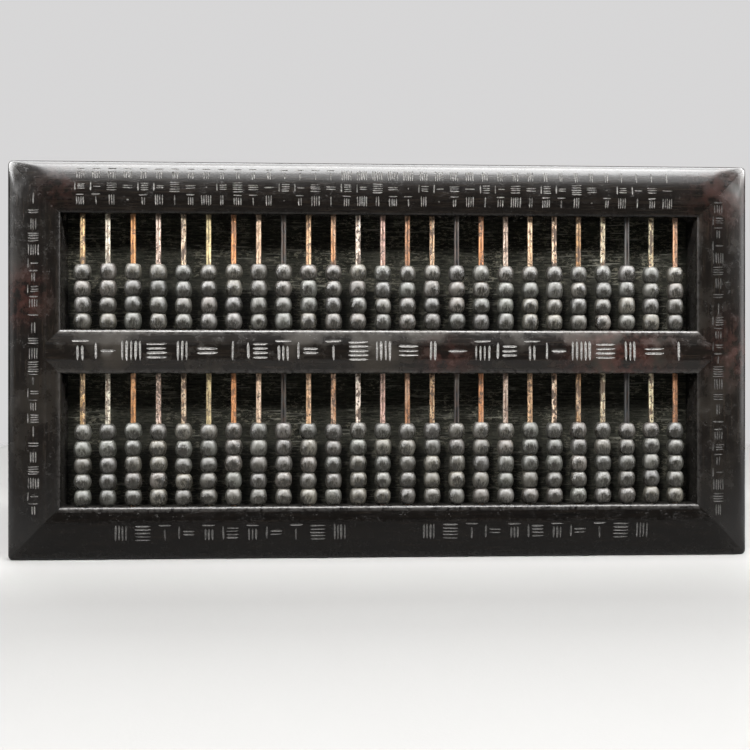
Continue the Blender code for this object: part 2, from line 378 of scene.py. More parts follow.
# %% Meshes from rings of points
Ring = namedtuple("Ring", "depth inward worn scuffed ease")
EASE_STATIONS = (0, 0.35, 0.8, 1.4, 2.1, 3.0, 4.0, 5.2, 6.6, 8.2, 10.0, 12.0, 14.0, 16.5)
STATION_STEP = 2.6
MITRE_GAP = 0.03


def new_mesh(name, vertices, faces, outward=True):
    """A mesh of these points and faces. All the faces of a closed one can be turned outward."""
    mesh = bpy.data.meshes.new(name)
    mesh.from_pydata(vertices, [], faces)
    if outward:
        build = bmesh.new()
        build.from_mesh(mesh)
        bmesh.ops.recalc_face_normals(build, faces=build.faces)
        build.to_mesh(mesh)
        build.free()
    return mesh


def ring_stack(rings, closed=False):
    """Faces between rings of points. A closed stack joins its last ring to its first."""
    count = len(rings)
    around = len(rings[0])
    faces = []
    for level in range(count if closed else count - 1):
        for i in range(around):
            j = (i + 1) % around
            a, b = level * around, (level + 1) % count * around
            faces.append((a + i, a + j, b + j, b + i))
    if not closed:
        faces.append(tuple(reversed(range(around))))
        faces.append(tuple((count - 1) * around + i for i in range(around)))
    return faces


def add_rings(vertices, faces, rings, closed=False):
    """One more stack of rings in a mesh that has several."""
    first = len(vertices)
    faces += [tuple(first + i for i in face) for face in ring_stack(rings, closed)]
    vertices += [point for ring in rings for point in ring]


def eased(inward, along, radius):
    """A point of the moulding near a corner, on a line of it that turns with this radius."""
    if radius <= 0 or along >= radius:
        return inward, inward + along
    turn = math.pi / 4 * (1 - along / radius)
    return inward + radius * (1 - math.cos(turn)), inward + radius - radius * math.sin(turn)


def bar_mesh(name, section, half, mitre):
    """A closed bar along X. mitre tells how far in from half each inward place ends."""
    rows = []
    for along in EASE_STATIONS:
        row = []
        for ring in section:
            inward, out = eased(mitre(ring.inward), along, ring.ease)
            row.append((-(half - MITRE_GAP - out), ring.inward + inward - mitre(ring.inward), ring.depth))
        rows.append(row)
    inner = rows[-1]
    count = max(2, int(2 * (half - MEMBER) / STATION_STEP))
    middle = []
    for step in range(1, count):
        share = step / count
        middle.append([(x * (1 - 2 * share), inward, depth) for x, inward, depth in inner])
    rows = rows + middle + [[(-x, inward, depth) for x, inward, depth in row] for row in reversed(rows)]
    vertices = [(x, FRONT + depth, inward) for row in rows for x, inward, depth in row]
    mesh = new_mesh(name, vertices, ring_stack(rows), outward=False)
    write_wear(mesh, section * len(rows))
    return mesh


def write_wear(mesh, rings):
    """Wear and painted light go on the faces' corners, because a cut keeps those."""
    values = np.array([(ring.worn, ring.scuffed, 0.0, 1.0) for ring in rings])
    corner = np.empty(len(mesh.loops), int)
    mesh.loops.foreach_get("vertex_index", corner)
    layer = mesh.attributes.new("worn", "FLOAT_COLOR", "CORNER")
    layer.data.foreach_set("color", values[corner].ravel())


print("bars have", len(EASE_STATIONS), "stations at each corner")


# %% [markdown]
# ## The frame's section
# From the outer edge the front swells in one quarter ellipse up to a crest, and a shallow bevel
# leads down to the opening. Its edge is eased by wear, which is why it shines as a thin line. It is
# also painted pale, most where it faces up, partly as wear and partly as a painted highlight. On the
# bottom rail the outer rounding is painted pale too, as a painted reflection. Behind
# are the groove for the back board and a small chamfer.

# %% Points of the section
CREST = MEMBER - 7.5
CROWN_DEPTH = 7.0
BEVEL_FALL = 1.4
ARRIS_WIDTH = 1.5
ARRIS_DEPTH = 3.0
CROWN_STEPS = 18
ARRIS_STEPS = 5
BACK_CHAMFER = 1.5
GROOVE_SLACK = 0.15
GROOVE_FLOOR = MEMBER - 5.0
BACK_STRIP = 4.0
BEVEL_SHARES = (0.15, 0.45, 0.75)
SIDE_STEPS = 6
WALL_STEPS = 4
PAINTED_REFLECTION_STEPS = 12
SCUFFED_STEPS = 4
CORNER_EASE = 2.4
FRONT_EASE = 15.0
EASE_GROWS = 4.5
EASE_FADES = 10.0


def crown(inward):
    """Depth of the front's swelling behind the crest."""
    share = (CREST - inward) / CREST
    return CROWN_DEPTH * (1 - math.sqrt(max(0.0, 1 - share * share)))


def arris_rings(start, rub):
    """The rubbed edge of the opening: a quarter ellipse that starts where the bevel ends. Its pale paint is
    partly wear and partly a painted highlight.
    """
    rings = []
    for step in range(ARRIS_STEPS + 1):
        turn = math.pi / 2 * step / ARRIS_STEPS
        depth = BEVEL_FALL + (ARRIS_DEPTH - BEVEL_FALL) * (1 - math.cos(turn))
        worn = rub * max(0.15, math.sin(min(2 * turn, math.pi))) ** 0.5
        rings.append(Ring(depth, start + ARRIS_WIDTH * math.sin(turn), worn, 0.5 * rub, 0))
    return rings


def frame_section(rub, painted_reflection=0.0):
    """The section's points. rub is the pale paint of the opening's edge, partly wear and partly a painted
    highlight; painted_reflection is the pale paint of the outer rounding, a painted reflection.
    """
    depth_back = BACK - FRONT
    wall = depth_back - BACK_CHAMFER - CROWN_DEPTH
    side = [depth_back - BACK_CHAMFER - wall * step / SIDE_STEPS for step in range(SIDE_STEPS)]
    rings = [Ring(depth_back, BACK_CHAMFER, 0.5, 0.5, CORNER_EASE)]
    rings += [Ring(depth, 0.0, 0.25 * (depth == side[0]), 0.3, CORNER_EASE) for depth in side]
    for step in range(CROWN_STEPS):
        turn = math.pi / 2 * step / CROWN_STEPS
        inward = CREST * (1 - math.cos(turn))
        ease = CORNER_EASE + (FRONT_EASE - CORNER_EASE) * min(1.0, inward / EASE_GROWS)
        ease *= min(1.0, (CREST - inward) / EASE_FADES)
        # Painted reflection: pale paint on the outer rounding, strongest at the outer edge; only the bottom
        # rail has it.
        worn = painted_reflection * max(0.0, 1 - step / PAINTED_REFLECTION_STEPS) ** 2
        rings.append(Ring(crown(inward), inward, worn, 0.10 + 0.2 * (step < SCUFFED_STEPS), ease))
    rings.append(Ring(0.06, CREST, 0.05, 0.3 * rub, 0))
    for share in BEVEL_SHARES:
        inward = CREST + share * (MEMBER - ARRIS_WIDTH - CREST)
        rings.append(Ring(BEVEL_FALL * share, inward, 0.0, rub * (0.3 + share), 0))
    rings += arris_rings(MEMBER - ARRIS_WIDTH, rub)
    groove_front = PANEL_LOW[1] - FRONT - GROOVE_SLACK
    groove_back = PANEL_HIGH[1] - FRONT + GROOVE_SLACK
    for step in range(1, WALL_STEPS + 1):
        depth = ARRIS_DEPTH + (groove_front - ARRIS_DEPTH) * step / WALL_STEPS
        rings.append(Ring(depth, MEMBER, 0.35, 0.2, 0))
    rings += [
        Ring(groove_front, GROOVE_FLOOR, 0.0, 0.0, 0),
        Ring(groove_back, GROOVE_FLOOR, 0.0, 0.0, 0),
        Ring(groove_back, MEMBER, 0.2, 0.3, 0),
        Ring(depth_back, MEMBER, 0.5, 0.4, 0),
        Ring(depth_back, MEMBER - BACK_STRIP, 0.0, 0.3, 0),
        Ring(depth_back, MEMBER / 2, 0.0, 0.2, 0),
        Ring(depth_back, BACK_CHAMFER + BACK_STRIP, 0.0, 0.3, CORNER_EASE / 2),
    ]
    return rings


# Pale paint on each member's opening edge, partly wear and partly a painted highlight: most where the edge
# faces up, least where it faces down.
TOP_WEAR_AND_HIGHLIGHT, SIDE_WEAR_AND_HIGHLIGHT, BOTTOM_WEAR_AND_HIGHLIGHT = 0.06, 0.20, 1.0
BOTTOM_PAINTED_REFLECTION = 0.22
print("section of", len(frame_section(BOTTOM_WEAR_AND_HIGHLIGHT)), "points")


# %% [markdown]
# ## Hand-worked surfaces
# Planes and scrapers never leave a perfect surface: reflections on the crown waver. The same slow
# noise moves all members' points, so faces still meet at the mitres, and quicker noise
# nibbles the rubbed edges.

# %% Ripples, smooth shading and cuts
RIPPLE = 0.085
RIPPLE_LENGTH = 26.0
NIBBLE = 0.22
NIBBLE_LENGTH = 2.3
SHARP_ANGLE = 38


def ripple(mesh):
    """Moves the points of the front by slow noise, and those of the worn, pale-painted edges by quick noise.
    """
    worn = np.zeros(len(mesh.vertices))
    layer = mesh.attributes["worn"].data
    for loop in mesh.loops:
        worn[loop.vertex_index] = layer[loop.index].color[0]
    for vertex in mesh.vertices:
        place = vertex.co
        if place.y < FRONT + CROWN_DEPTH - 0.2:
            slow = noise.noise(place / RIPPLE_LENGTH)
            quick = noise.noise(place / NIBBLE_LENGTH)
            place.y += RIPPLE * max(0.0, slow + 0.4) + NIBBLE * worn[vertex.index] * max(0.0, quick)


def shown(name, mesh, material, body, node):
    """A finished piece: in metres, smooth but for its sharp edges, on its body, for its node."""
    mesh.transform(Matrix.Scale(MM, 4))
    if not mesh.materials:
        mesh.materials.append(material)
    mesh.shade_smooth()
    mesh.set_sharp_from_angle(angle=math.radians(SHARP_ANGLE))
    piece = placed(name, mesh)
    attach(piece, body)
    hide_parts(node)


def cut(mesh, cutter, material):
    """The mesh with every shape of the cutter taken out. The cut faces get the material."""
    cutter.materials.clear()
    cutter.materials.append(material)
    block = placed("block", mesh)
    tool = placed("tool", cutter)
    modifier = block.modifiers.new("cut", "BOOLEAN")
    modifier.operation = "DIFFERENCE"
    modifier.solver = "EXACT"
    modifier.material_mode = "TRANSFER"
    modifier.object = tool
    graph = bpy.context.evaluated_depsgraph_get()
    done = bpy.data.meshes.new_from_object(block.evaluated_get(graph))
    for thing in (block, tool):
        bpy.data.objects.remove(thing)
    return done


print("ripples of", RIPPLE, "mm")


# %% [markdown]
# ## Numerals of counting rods
# The frame carries plain numbers, written the old way with little rods: up to five strokes
# side by side, and from six on one stroke across them that stands for five. Units stand
# upright and tens lie flat, turn by turn, so that neighbours don't run together. Each stroke is
# a gouge cut, so its cutter is a little boat: pointed at both ends and V-shaped below. It
# follows the swelling of the front, or it would miss the surface at one end.

# %% Strokes and their cutters
Stroke = namedtuple("Stroke", "x0 z0 x1 z1")
STROKE_WIDTH_SHARE = 0.125
STROKE_DEPTH = 0.45
UNEVEN = 0.16
STROKE_RISE = 0.8
DOT_REACH = 0.08
ROD_SPACING = 0.225
FIVE_DROP = 0.24
FIVE_REACH = 0.42
# How far along a stroke, and how full it is there
BOAT = ((0.0, 0.35), (0.14, 1.0), (0.80, 0.9), (1.0, 0.25))


def numeral(digit, flat, size):
    """The strokes of one digit in a square of this size, centred on zero."""
    if digit == 0:
        return [Stroke(-size * DOT_REACH, 0, size * DOT_REACH, 0)]
    strokes = []
    rods = digit if digit <= 5 else digit - 5
    top = size / 2 if digit <= 5 else size / 2 - size * FIVE_DROP
    for rod in range(rods):
        across = (rod - (rods - 1) / 2) * size * ROD_SPACING
        strokes.append(Stroke(across, top, across, -size / 2))
    if digit > 5:
        strokes.append(Stroke(-size * FIVE_REACH, size / 2, size * FIVE_REACH, size / 2))
    if flat:
        strokes = [Stroke(-s.z0, s.x0, -s.z1, s.x1) for s in strokes]
    return strokes


def off_true(hand, x, z):
    """A stroke's end, where an unsteady hand sets it."""
    return Vector((x + hand.uniform(-UNEVEN, UNEVEN), z + hand.uniform(-UNEVEN, UNEVEN)))


def marks_mesh(strokes, size, front, seed):
    """One cutter for all strokes, laid on the front of a mesh."""
    hand = random.Random(seed)
    tree = BVHTree.FromPolygons([v.co for v in front.vertices], [face.vertices for face in front.polygons])
    vertices, faces = [], []
    for stroke in strokes:
        start = off_true(hand, stroke.x0, stroke.z0)
        end = off_true(hand, stroke.x1, stroke.z1)
        across = (end - start).orthogonal().normalized()
        side = across * size * STROKE_WIDTH_SHARE / 2 * hand.uniform(0.8, 1.15)
        rings = []
        for share, fullness in BOAT:
            middle = start.lerp(end, share)
            above = Vector((middle.x, FRONT - STROKE_RISE, middle.y))
            surface = tree.ray_cast(above, Vector((0, 1, 0)))[0].y
            low = surface + STROKE_DEPTH * fullness
            high = surface - STROKE_RISE
            ring = []
            for offset, y in ((-1, high), (-1, surface), (0, low), (1, surface), (1, high)):
                place = middle + side * offset * fullness
                ring.append((place.x, y, place.y))
            rings.append(ring)
        add_rings(vertices, faces, rings)
    return new_mesh("marks", vertices, faces)


def moved(strokes, x, z):
    return [Stroke(s.x0 + x, s.z0 + z, s.x1 + x, s.z1 + z) for s in strokes]


print("numerals 0 to 9 need", sum(len(numeral(d, False, 1)) for d in range(10)), "strokes")


# %% [markdown]
# ## Rails and stiles
# Four members make the frame. The top rail carries the three-figure multiples of 23, read
# downwards. The stiles carry the digits one to nine, up on one side and down on the other, and
# the bottom rail counts from four to nine and back, twice. Each rail is also drilled for the
# rods, and each stile is notched for the beam's end.

# %% Cutters for sockets and notches
SOCKET_RADIUS = 1.56
SOCKET_DEPTH = 6.0
BEVEL_WIDTH = MEMBER - CREST
NOTCH_GAP = 0.05
OVERCUT = 2.0
ROUND_SIDES = 24


def circle(x, y, z, radius):
    """A level ring of points."""
    angles = [2 * math.pi * i / ROUND_SIDES for i in range(ROUND_SIDES)]
    return [(x + radius * math.cos(a), y + radius * math.sin(a), z) for a in angles]


def sockets_mesh(low, high):
    """One upright drill hole a rod."""
    vertices, faces = [], []
    for x in PLACES:
        add_rings(vertices, faces, [circle(x, ROD_Y, z, SOCKET_RADIUS) for z in (low, high)])
    return new_mesh("sockets", vertices, faces)


def notch_mesh(side):
    """Room for the beam's mitred end in a stile."""
    root = BEAM_HEIGHT / 2 + NOTCH_GAP * math.sqrt(2) + OVERCUT
    reach = BEVEL_WIDTH + NOTCH_GAP
    start, end = OPENING / 2 - OVERCUT, OPENING / 2 + reach
    tip = root - OVERCUT - reach
    outline = [(side * start, -root), (side * end, -tip), (side * end, tip), (side * start, root)]
    back = PANEL_LOW[1] - GROOVE_SLACK + 0.01
    vertices = [(x, y, BEAM_MIDDLE + z) for y in (FRONT - OVERCUT, back) for x, z in outline]
    faces = [(0, 1, 2, 3), (7, 6, 5, 4)]
    faces += [(i, (i + 1) % 4, (i + 1) % 4 + 4, i + 4) for i in range(4)]
    return new_mesh("notch", vertices, faces)


print("sockets", SOCKET_DEPTH, "mm deep")

# %% What every member gets
def at_45(inward):
    """A plain mitre: each line of the moulding ends as far in as it lies from the edge."""
    return inward


def engraved(mesh, wood, holes, strokes, size, seed, paste, node):
    """Ripples a bar, cuts its holes and its numerals, and shows it in place of a node."""
    name = mesh.name
    ripple(mesh)
    mesh.materials.append(wood)
    mesh = cut(mesh, holes, wood)
    mesh = cut(mesh, marks_mesh(strokes, size, mesh, seed), paste)
    print(name, "has", len(mesh.polygons), "faces and", len(strokes), "strokes")
    shown(name, mesh, wood, "frame", node)


print("holes reach", OVERCUT, "mm past the wood")

# %% Top rail
TIERS = (205.9, 198.9, 191.9)
TIER_SIZE = 5.3
TABLE_COLUMNS, TABLE_STEP, TABLE_PITCH, TABLE_RIGHT = 39, 23, 8.3, 154.5
TABLE_FIRST = 5


def top_rail():
    mesh = bar_mesh("top_rail_moulded", frame_section(TOP_WEAR_AND_HIGHLIGHT), WIDTH / 2, at_45)
    mesh.transform(Matrix.Translation((0, 0, HEIGHT)) @ Matrix.Rotation(math.pi, 4, "Y"))
    strokes = []
    for column in range(TABLE_COLUMNS):
        x = TABLE_RIGHT - column * TABLE_PITCH
        digits = str(TABLE_STEP * (column + TABLE_FIRST))
        for tier, (z, digit) in enumerate(zip(TIERS, digits)):
            strokes += moved(numeral(int(digit), tier == 1, TIER_SIZE), x, z)
    holes = sockets_mesh(HEIGHT - MEMBER - OVERCUT, HEIGHT - MEMBER + SOCKET_DEPTH)
    engraved(mesh, TOP_EBONY, holes, strokes, TIER_SIZE, 1, CLEAR_PASTE, "top_rail")


top_rail()

# %% Bottom rail
BOTTOM_ROW = 14.8
BOTTOM_SIZE = 8.0
BOTTOM_PITCH = 11.6
GROUP_STARTS = (-139.5, 24.5)
GROUP_COUNT = 11


def bottom_rail():
    section = frame_section(BOTTOM_WEAR_AND_HIGHLIGHT, BOTTOM_PAINTED_REFLECTION)
    mesh = bar_mesh("bottom_rail_moulded", section, WIDTH / 2, at_45)
    strokes = []
    for start in GROUP_STARTS:
        for i in range(GROUP_COUNT):
            digit = 9 - abs(i - GROUP_COUNT // 2)
            strokes += moved(numeral(digit, i % 2 == 1, BOTTOM_SIZE), start + i * BOTTOM_PITCH, BOTTOM_ROW)
    holes = sockets_mesh(MEMBER - SOCKET_DEPTH, MEMBER + OVERCUT)
    engraved(mesh, BOTTOM_EBONY, holes, strokes, BOTTOM_SIZE, 2, FAINT_PASTE, "bottom_rail")


bottom_rail()

# %% Stiles
STILE_PITCH, STILE_COUNT, STILE_SIZE = 6.85, 25, 5.7


def stile(name, side, node, row, highest, paste):
    mesh = bar_mesh(name, frame_section(SIDE_WEAR_AND_HIGHLIGHT), HEIGHT / 2, at_45)
    upright = Matrix.Rotation(-side * math.pi / 2, 4, "Y")
    mesh.transform(Matrix.Translation((side * WIDTH / 2, 0, HEIGHT / 2)) @ upright)
    strokes = []
    for i in range(STILE_COUNT):
        digit = i % 9 + 1 if side < 0 else 9 - i % 9
        strokes += moved(numeral(digit, i % 2 == 1, STILE_SIZE), side * row, highest - i * STILE_PITCH)
    engraved(mesh, STILE_EBONY, notch_mesh(side), strokes, STILE_SIZE, 3 + side, paste, node)


stile("left_stile_moulded", -1, "left_stile", 185.3, 192.3, DULL_PASTE)
stile("right_stile_moulded", 1, "right_stile", 182.7, 189.8, FAINT_PASTE)


# %% [markdown]
# ## Beam
# The beam is bevelled on both long edges like the frame's opening, and its ends are mitred
# into the stiles, so that the bevels meet in a crease. The digits one to nine are cut along it
# again and again, one to a rod, counted from the right.

# %% The beam with its numbers
BEAM_ROW = BEAM_MIDDLE + 0.6
BEAM_SIZE = 10.4
BEAM_WEAR_AND_HIGHLIGHT = 1.3
BEAM_OVERCUT = 1.0
BEAM_HALF = BEAM_HEIGHT / 2
BEAM_FLAT = BEAM_HALF - BEVEL_WIDTH


def beam_section():
    """The section's points, up the front from the lower edge. The lower half mirrors the upper."""
    back = PANEL_LOW[1] - FRONT - SEAT_GAP
    upper = [
        Ring(0.0, 0.0, 0.0, 0.2, 0),
        Ring(0.0, BEAM_FLAT - 1.0, 0.0, 0.2, 0),
        Ring(0.05, BEAM_FLAT, 0.10, 0.3, 0),
    ]
    for share in BEVEL_SHARES:
        inward = BEAM_FLAT + share * (BEVEL_WIDTH - ARRIS_WIDTH)
        upper.append(Ring(BEVEL_FALL * share, inward, 0.0, 0.3 + share, 0))
    upper += arris_rings(BEAM_HALF - ARRIS_WIDTH, BEAM_WEAR_AND_HIGHLIGHT)
    for step in range(1, WALL_STEPS + 1):
        depth = ARRIS_DEPTH + (back - ARRIS_DEPTH) * step / WALL_STEPS
        upper.append(Ring(depth, BEAM_HALF, 0.0, 0.2, 0))
    upper.append(Ring(back, BEAM_FLAT, 0.0, 0.0, 0))
    lower = []
    # The lower edge faces down, so it gets less of the pale edge paint, which is partly a painted highlight.
    for ring in reversed(upper[1:]):
        lower.append(ring._replace(inward=-ring.inward, worn=ring.worn * 0.3, scuffed=ring.scuffed * 0.4))
    return lower + upper


def beam_mitre(up):
    """The ends are mitred along the bevels and straight across the flat."""
    return max(abs(up), BEAM_FLAT)


def beam():
    mesh = bar_mesh("beam_moulded", beam_section(), OPENING / 2 + BEAM_HALF, beam_mitre)
    mesh.transform(Matrix.Translation((0, 0, BEAM_MIDDLE)))
    strokes = []
    for column, x in enumerate(reversed(PLACES)):
        strokes += moved(numeral(column % 9 + 1, column % 2 == 1, BEAM_SIZE), x, BEAM_ROW)
    holes = sockets_mesh(BEAM_MIDDLE - BEAM_HALF - BEAM_OVERCUT, BEAM_MIDDLE + BEAM_HALF + BEAM_OVERCUT)
    engraved(mesh, BEAM_EBONY, holes, strokes, BEAM_SIZE, 7, CLEAR_PASTE, "beam_and_rods")


beam()


# %% [markdown]
# ## Back board
# The board behind the rods was sawn and never planed: nobody touches it. Saw marks and torn
# grain run level across it, and its back is plainer. Deep furrows are real relief on a fine
# grid, and the fibres are left to the finish.

# %% Sawn board
BOARD_STEP = 1.6
FURROW = 0.22


def sawn_wood():
    wood = Finish("board_sawn", Specular_IOR_Level=0.05)
    level = wood.stretched((0.05, 1.0, 1.0))
    fibres = wood.cloud(0.55, 5.0, level, 0.72)
    furrows = wood.cloud(1.7, 4.0, level, 0.65)
    patches = wood.cloud(16.0, 3.0)
    crumbs = wood.cloud(0.9, 4.0, wood.stretched((0.40, 1.0, 1.0)), 0.75)
    lines = wood.cloud(0.9, 3.0, wood.stretched((0.05, 1.0, 1.0), (0.4, 0.0, 0.0)), 0.5)
    colour = wood.mix(fibres.between(0.36, 0.72), (0.0042, 0.0043, 0.0033), (0.040, 0.0400, 0.0315))
    colour = wood.mix(patches.between(0.5, 0.7) * 0.35, colour, (0.009, 0.0095, 0.0075))
    _, depth, height = wood.split(wood.place)
    hidden = depth.between(PANEL_LOW[1] * MM + 0.001, PANEL_HIGH[1] * MM)
    rough = (0.78 + 0.47 * height.between(0.100, 0.122)) * (1 - 0.85 * hidden)
    grain = wood.cloud(1.3, 4.0, wood.stretched((0.02, 1.0, 1.0)), 0.6)
    plain = wood.mix(grain.between(0.35, 0.65), (0.010, 0.008, 0.0062), (0.027, 0.0215, 0.0165))
    colour = wood.mix(hidden * 0.9, colour, plain)
    torn = crumbs.between(0.53, 0.60) * (0.25 + patches.between(0.44, 0.60)) * rough
    colour = wood.mix(torn.at_most(0.9), colour, (0.115, 0.108, 0.082))
    scratches = lines.between(0.60, 0.66) * patches.between(0.40, 0.56) * rough
    colour = wood.mix(scratches * 0.60, colour, (0.19, 0.185, 0.155))
    roughness = 0.60 + 0.3 * fibres
    relief = 0.5 * furrows + 0.4 * fibres + 0.7 * crumbs * (1 - 0.8 * hidden)
    return wood.finish_with(Base_Color=colour, Roughness=roughness, Normal=wood.bumps(relief, 0.45))


def torn_grain(x, z):
    """Long furrows, and shorter ones that break them up."""
    furrow = noise.noise(Vector((x / 40, 0, z / 1.9)))
    return furrow + 0.6 * noise.noise(Vector((x / 14, 5, z / 3.1)))


def back_board():
    low, high = PANEL_LOW, PANEL_HIGH
    across = int((high[0] - low[0]) / BOARD_STEP / 2)
    up = int((high[2] - low[2]) / BOARD_STEP)
    vertices, faces = [], []
    for y, rough in ((low[1], 1.0), (high[1], 0.0)):
        for k in range(up + 1):
            for i in range(across + 1):
                x = low[0] + (high[0] - low[0]) * i / across
                z = low[2] + (high[2] - low[2]) * k / up
                inside = 0 < i < across and 0 < k < up
                torn = torn_grain(x, z)
                vertices.append((x, y + inside * rough * FURROW * (torn + 1.0) * 0.5, z))
    row = across + 1
    layer = row * (up + 1)
    for k in range(up):
        for i in range(across):
            a = k * row + i
            faces.append((a, a + 1, a + row + 1, a + row))
            faces.append((layer + a, layer + a + row, layer + a + row + 1, layer + a + 1))
    rim = list(range(across)) + [k * row + across for k in range(up)]
    rim += [up * row + i for i in range(across, 0, -1)] + [k * row for k in range(up, 0, -1)]
    for a, b in zip(rim, rim[1:] + rim[:1]):
        faces.append((b, a, layer + a, layer + b))
    print("back board", len(faces), "faces")
    mesh = new_mesh("back_board", vertices, faces)
    shown("back_board", mesh, sawn_wood(), "frame", "back_panel")


back_board()


# %% [markdown]
# ## Rods
# The rods were drawn from whatever wire there was: brass, copper and a few of steel. Some have
# bleached, and some have gone rusty. Sliding beads keep them bright in stretches, and dark
# tarnish sits in the pits. A broken dark line down the front is a painted reflection of the dark
# room in front. A finish for each metal would repeat the same nodes, so one finish serves all:
# each rod carries its own metal's colour, darkened by the painted line, and its own share of
# tarnish as numbers on its mesh.

# %% Wire of several metals
ROD_RADIUS = 1.44
ROD_STEP = 2.0
ROD_TIP = 0.3
ROD_BOW = 0.06
ROD_UNEVEN = 0.03
PAINTED_LINE_WIDTH = 0.36
PALE, BEIGE, TAN, COPPER, RUST, ROSE, STEEL = (
    (0.74, 0.64, 0.53),
    (0.62, 0.49, 0.35),
    (0.60, 0.42, 0.23),
    (0.52, 0.25, 0.11),
    (0.40, 0.22, 0.11),
    (0.56, 0.42, 0.32),
    (0.048, 0.054, 0.048),
)
STEEL_TARNISH = 0.25
METALS = (
    TAN, PALE, COPPER, PALE, ROSE, TAN, COPPER, BEIGE, STEEL, TAN, RUST, PALE, ROSE,
    RUST, TAN, STEEL, COPPER, ROSE, TAN, BEIGE, RUST, BEIGE, STEEL, BEIGE, RUST,
)


def wire_finish():
    wire = Finish("rod_wire", IOR=1.5)
    own = wire.attribute("tone")
    tarnish = wire.attribute("tone", "Alpha")
    blotches = wire.cloud(3.6, 4.0, wire.stretched((1.0, 1.0, 0.6)), 0.65)
    streaks = wire.cloud(1.2, 3.0, wire.stretched((1.0, 1.0, 0.25)), 0.6)
    pits = wire.cloud(1.3, 3.0, None, 0.6)
    pale = wire.cloud(6.0, 3.0, wire.stretched((1.0, 1.0, 0.2)), 0.6)
    colour = wire.mix(pale.between(0.46, 0.64) * 0.38 * tarnish, own, (0.66, 0.57, 0.46))
    colour = wire.mix(streaks.between(0.46, 0.58) * 0.70 * tarnish, colour, (0.15, 0.062, 0.022))
    dark = (blotches.between(0.52, 0.56) + pits.between(0.54, 0.58)) * tarnish
    dark = dark.at_most(1.0)
    colour = wire.mix(dark * 0.96, colour, (0.036, 0.019, 0.010))
    metal = 0.60 - 0.45 * dark
    roughness = 0.30 + 0.14 * blotches + 0.06 * dark
    relief = wire.bumps(0.6 * blotches + 0.5 * pits - 0.5 * dark, 0.16)
    return wire.finish_with(Base_Color=colour, Metallic=metal, Roughness=roughness, Normal=relief)


ROD_FINISH = wire_finish()


def rod(column, x, metal):
    hand = random.Random(100 + column)
    steps = int((ROD_HIGH - ROD_LOW) / ROD_STEP)
    bow = Vector((hand.uniform(-ROD_BOW, ROD_BOW), hand.uniform(-ROD_BOW, ROD_BOW)))
    rings = []
    for step in range(-1, steps + 2):
        share = min(max(step / steps, 0.0), 1.0)
        z = ROD_LOW + (ROD_HIGH - ROD_LOW) * share
        radius = ROD_RADIUS * (0.7 if step in (-1, steps + 1) else 1.0)
        if 0 < step < steps:
            radius -= ROD_UNEVEN * (1 + noise.noise(Vector((column, z / 3, 0))))
        elif step == 0:
            z += ROD_TIP
        elif step == steps:
            z -= ROD_TIP
        middle = bow * math.sin(math.pi * share)
        rings.append(circle(x + middle.x, ROD_Y + middle.y, z, radius))
    points = [point for ring in rings for point in ring]
    mesh = new_mesh(f"rod_{column:02d}", points, ring_stack(rings), outward=False)
    colour = [part * hand.uniform(0.9, 1.08) for part in metal]
    tarnish, line = hand.uniform(0.5, 1.1), hand.uniform(0.3, 0.9)
    if metal is STEEL:
        tarnish, line = tarnish * STEEL_TARNISH, 1.1
    tones = []
    for ring in rings:
        # Painted reflection: a broken dark line down the front of the rod, where the dark room in front is
        # mirrored.
        broken = line * min(1.0, max(0.0, 0.8 + 1.6 * noise.noise(Vector((column * 7, ring[0][2] / 9, 3)))))
        for place in ring:
            away = (place[0] - x) / (ROD_RADIUS * PAINTED_LINE_WIDTH)
            dim = 1 - broken * math.exp(-away * away) * (place[1] < ROD_Y)
            tones.append((*(part * dim for part in colour), tarnish))
    write_tone(mesh, tones)
    shown(f"rod_{column:02d}", mesh, ROD_FINISH, "frame", "beam_and_rods")


def write_tone(mesh, tones):
    layer = mesh.attributes.new("tone", "FLOAT_COLOR", "POINT")
    layer.data.foreach_set("color", np.array(tones, float).ravel())


for column, (x, metal) in enumerate(zip(PLACES, METALS), start=1):
    rod(column, x, metal)
print(len(PLACES), "rods")


# %% [markdown]
# ## Beads
# The beads were turned by hand and have been fingered for a lifetime, so no two are alike:
# some are nearly round, some are barrels with broad flats, some have cone-like shoulders,
# and all sit a little crooked on their rods. Fingers have rubbed the front of each bead smooth.
# Its front and lower part are painted dark, as a painted reflection of the dark room in front and
# painted shade below, while its shoulders keep a rough pale bloom. Noise alone could scatter dark
# patches, but it doesn't know where a bead's front is, so the mesh carries how much of the painted
# dark front each point has. A stack is one mesh, because its beads ride on one body, but each bead
# in it has its own height, profile, lean, lumps and tone.

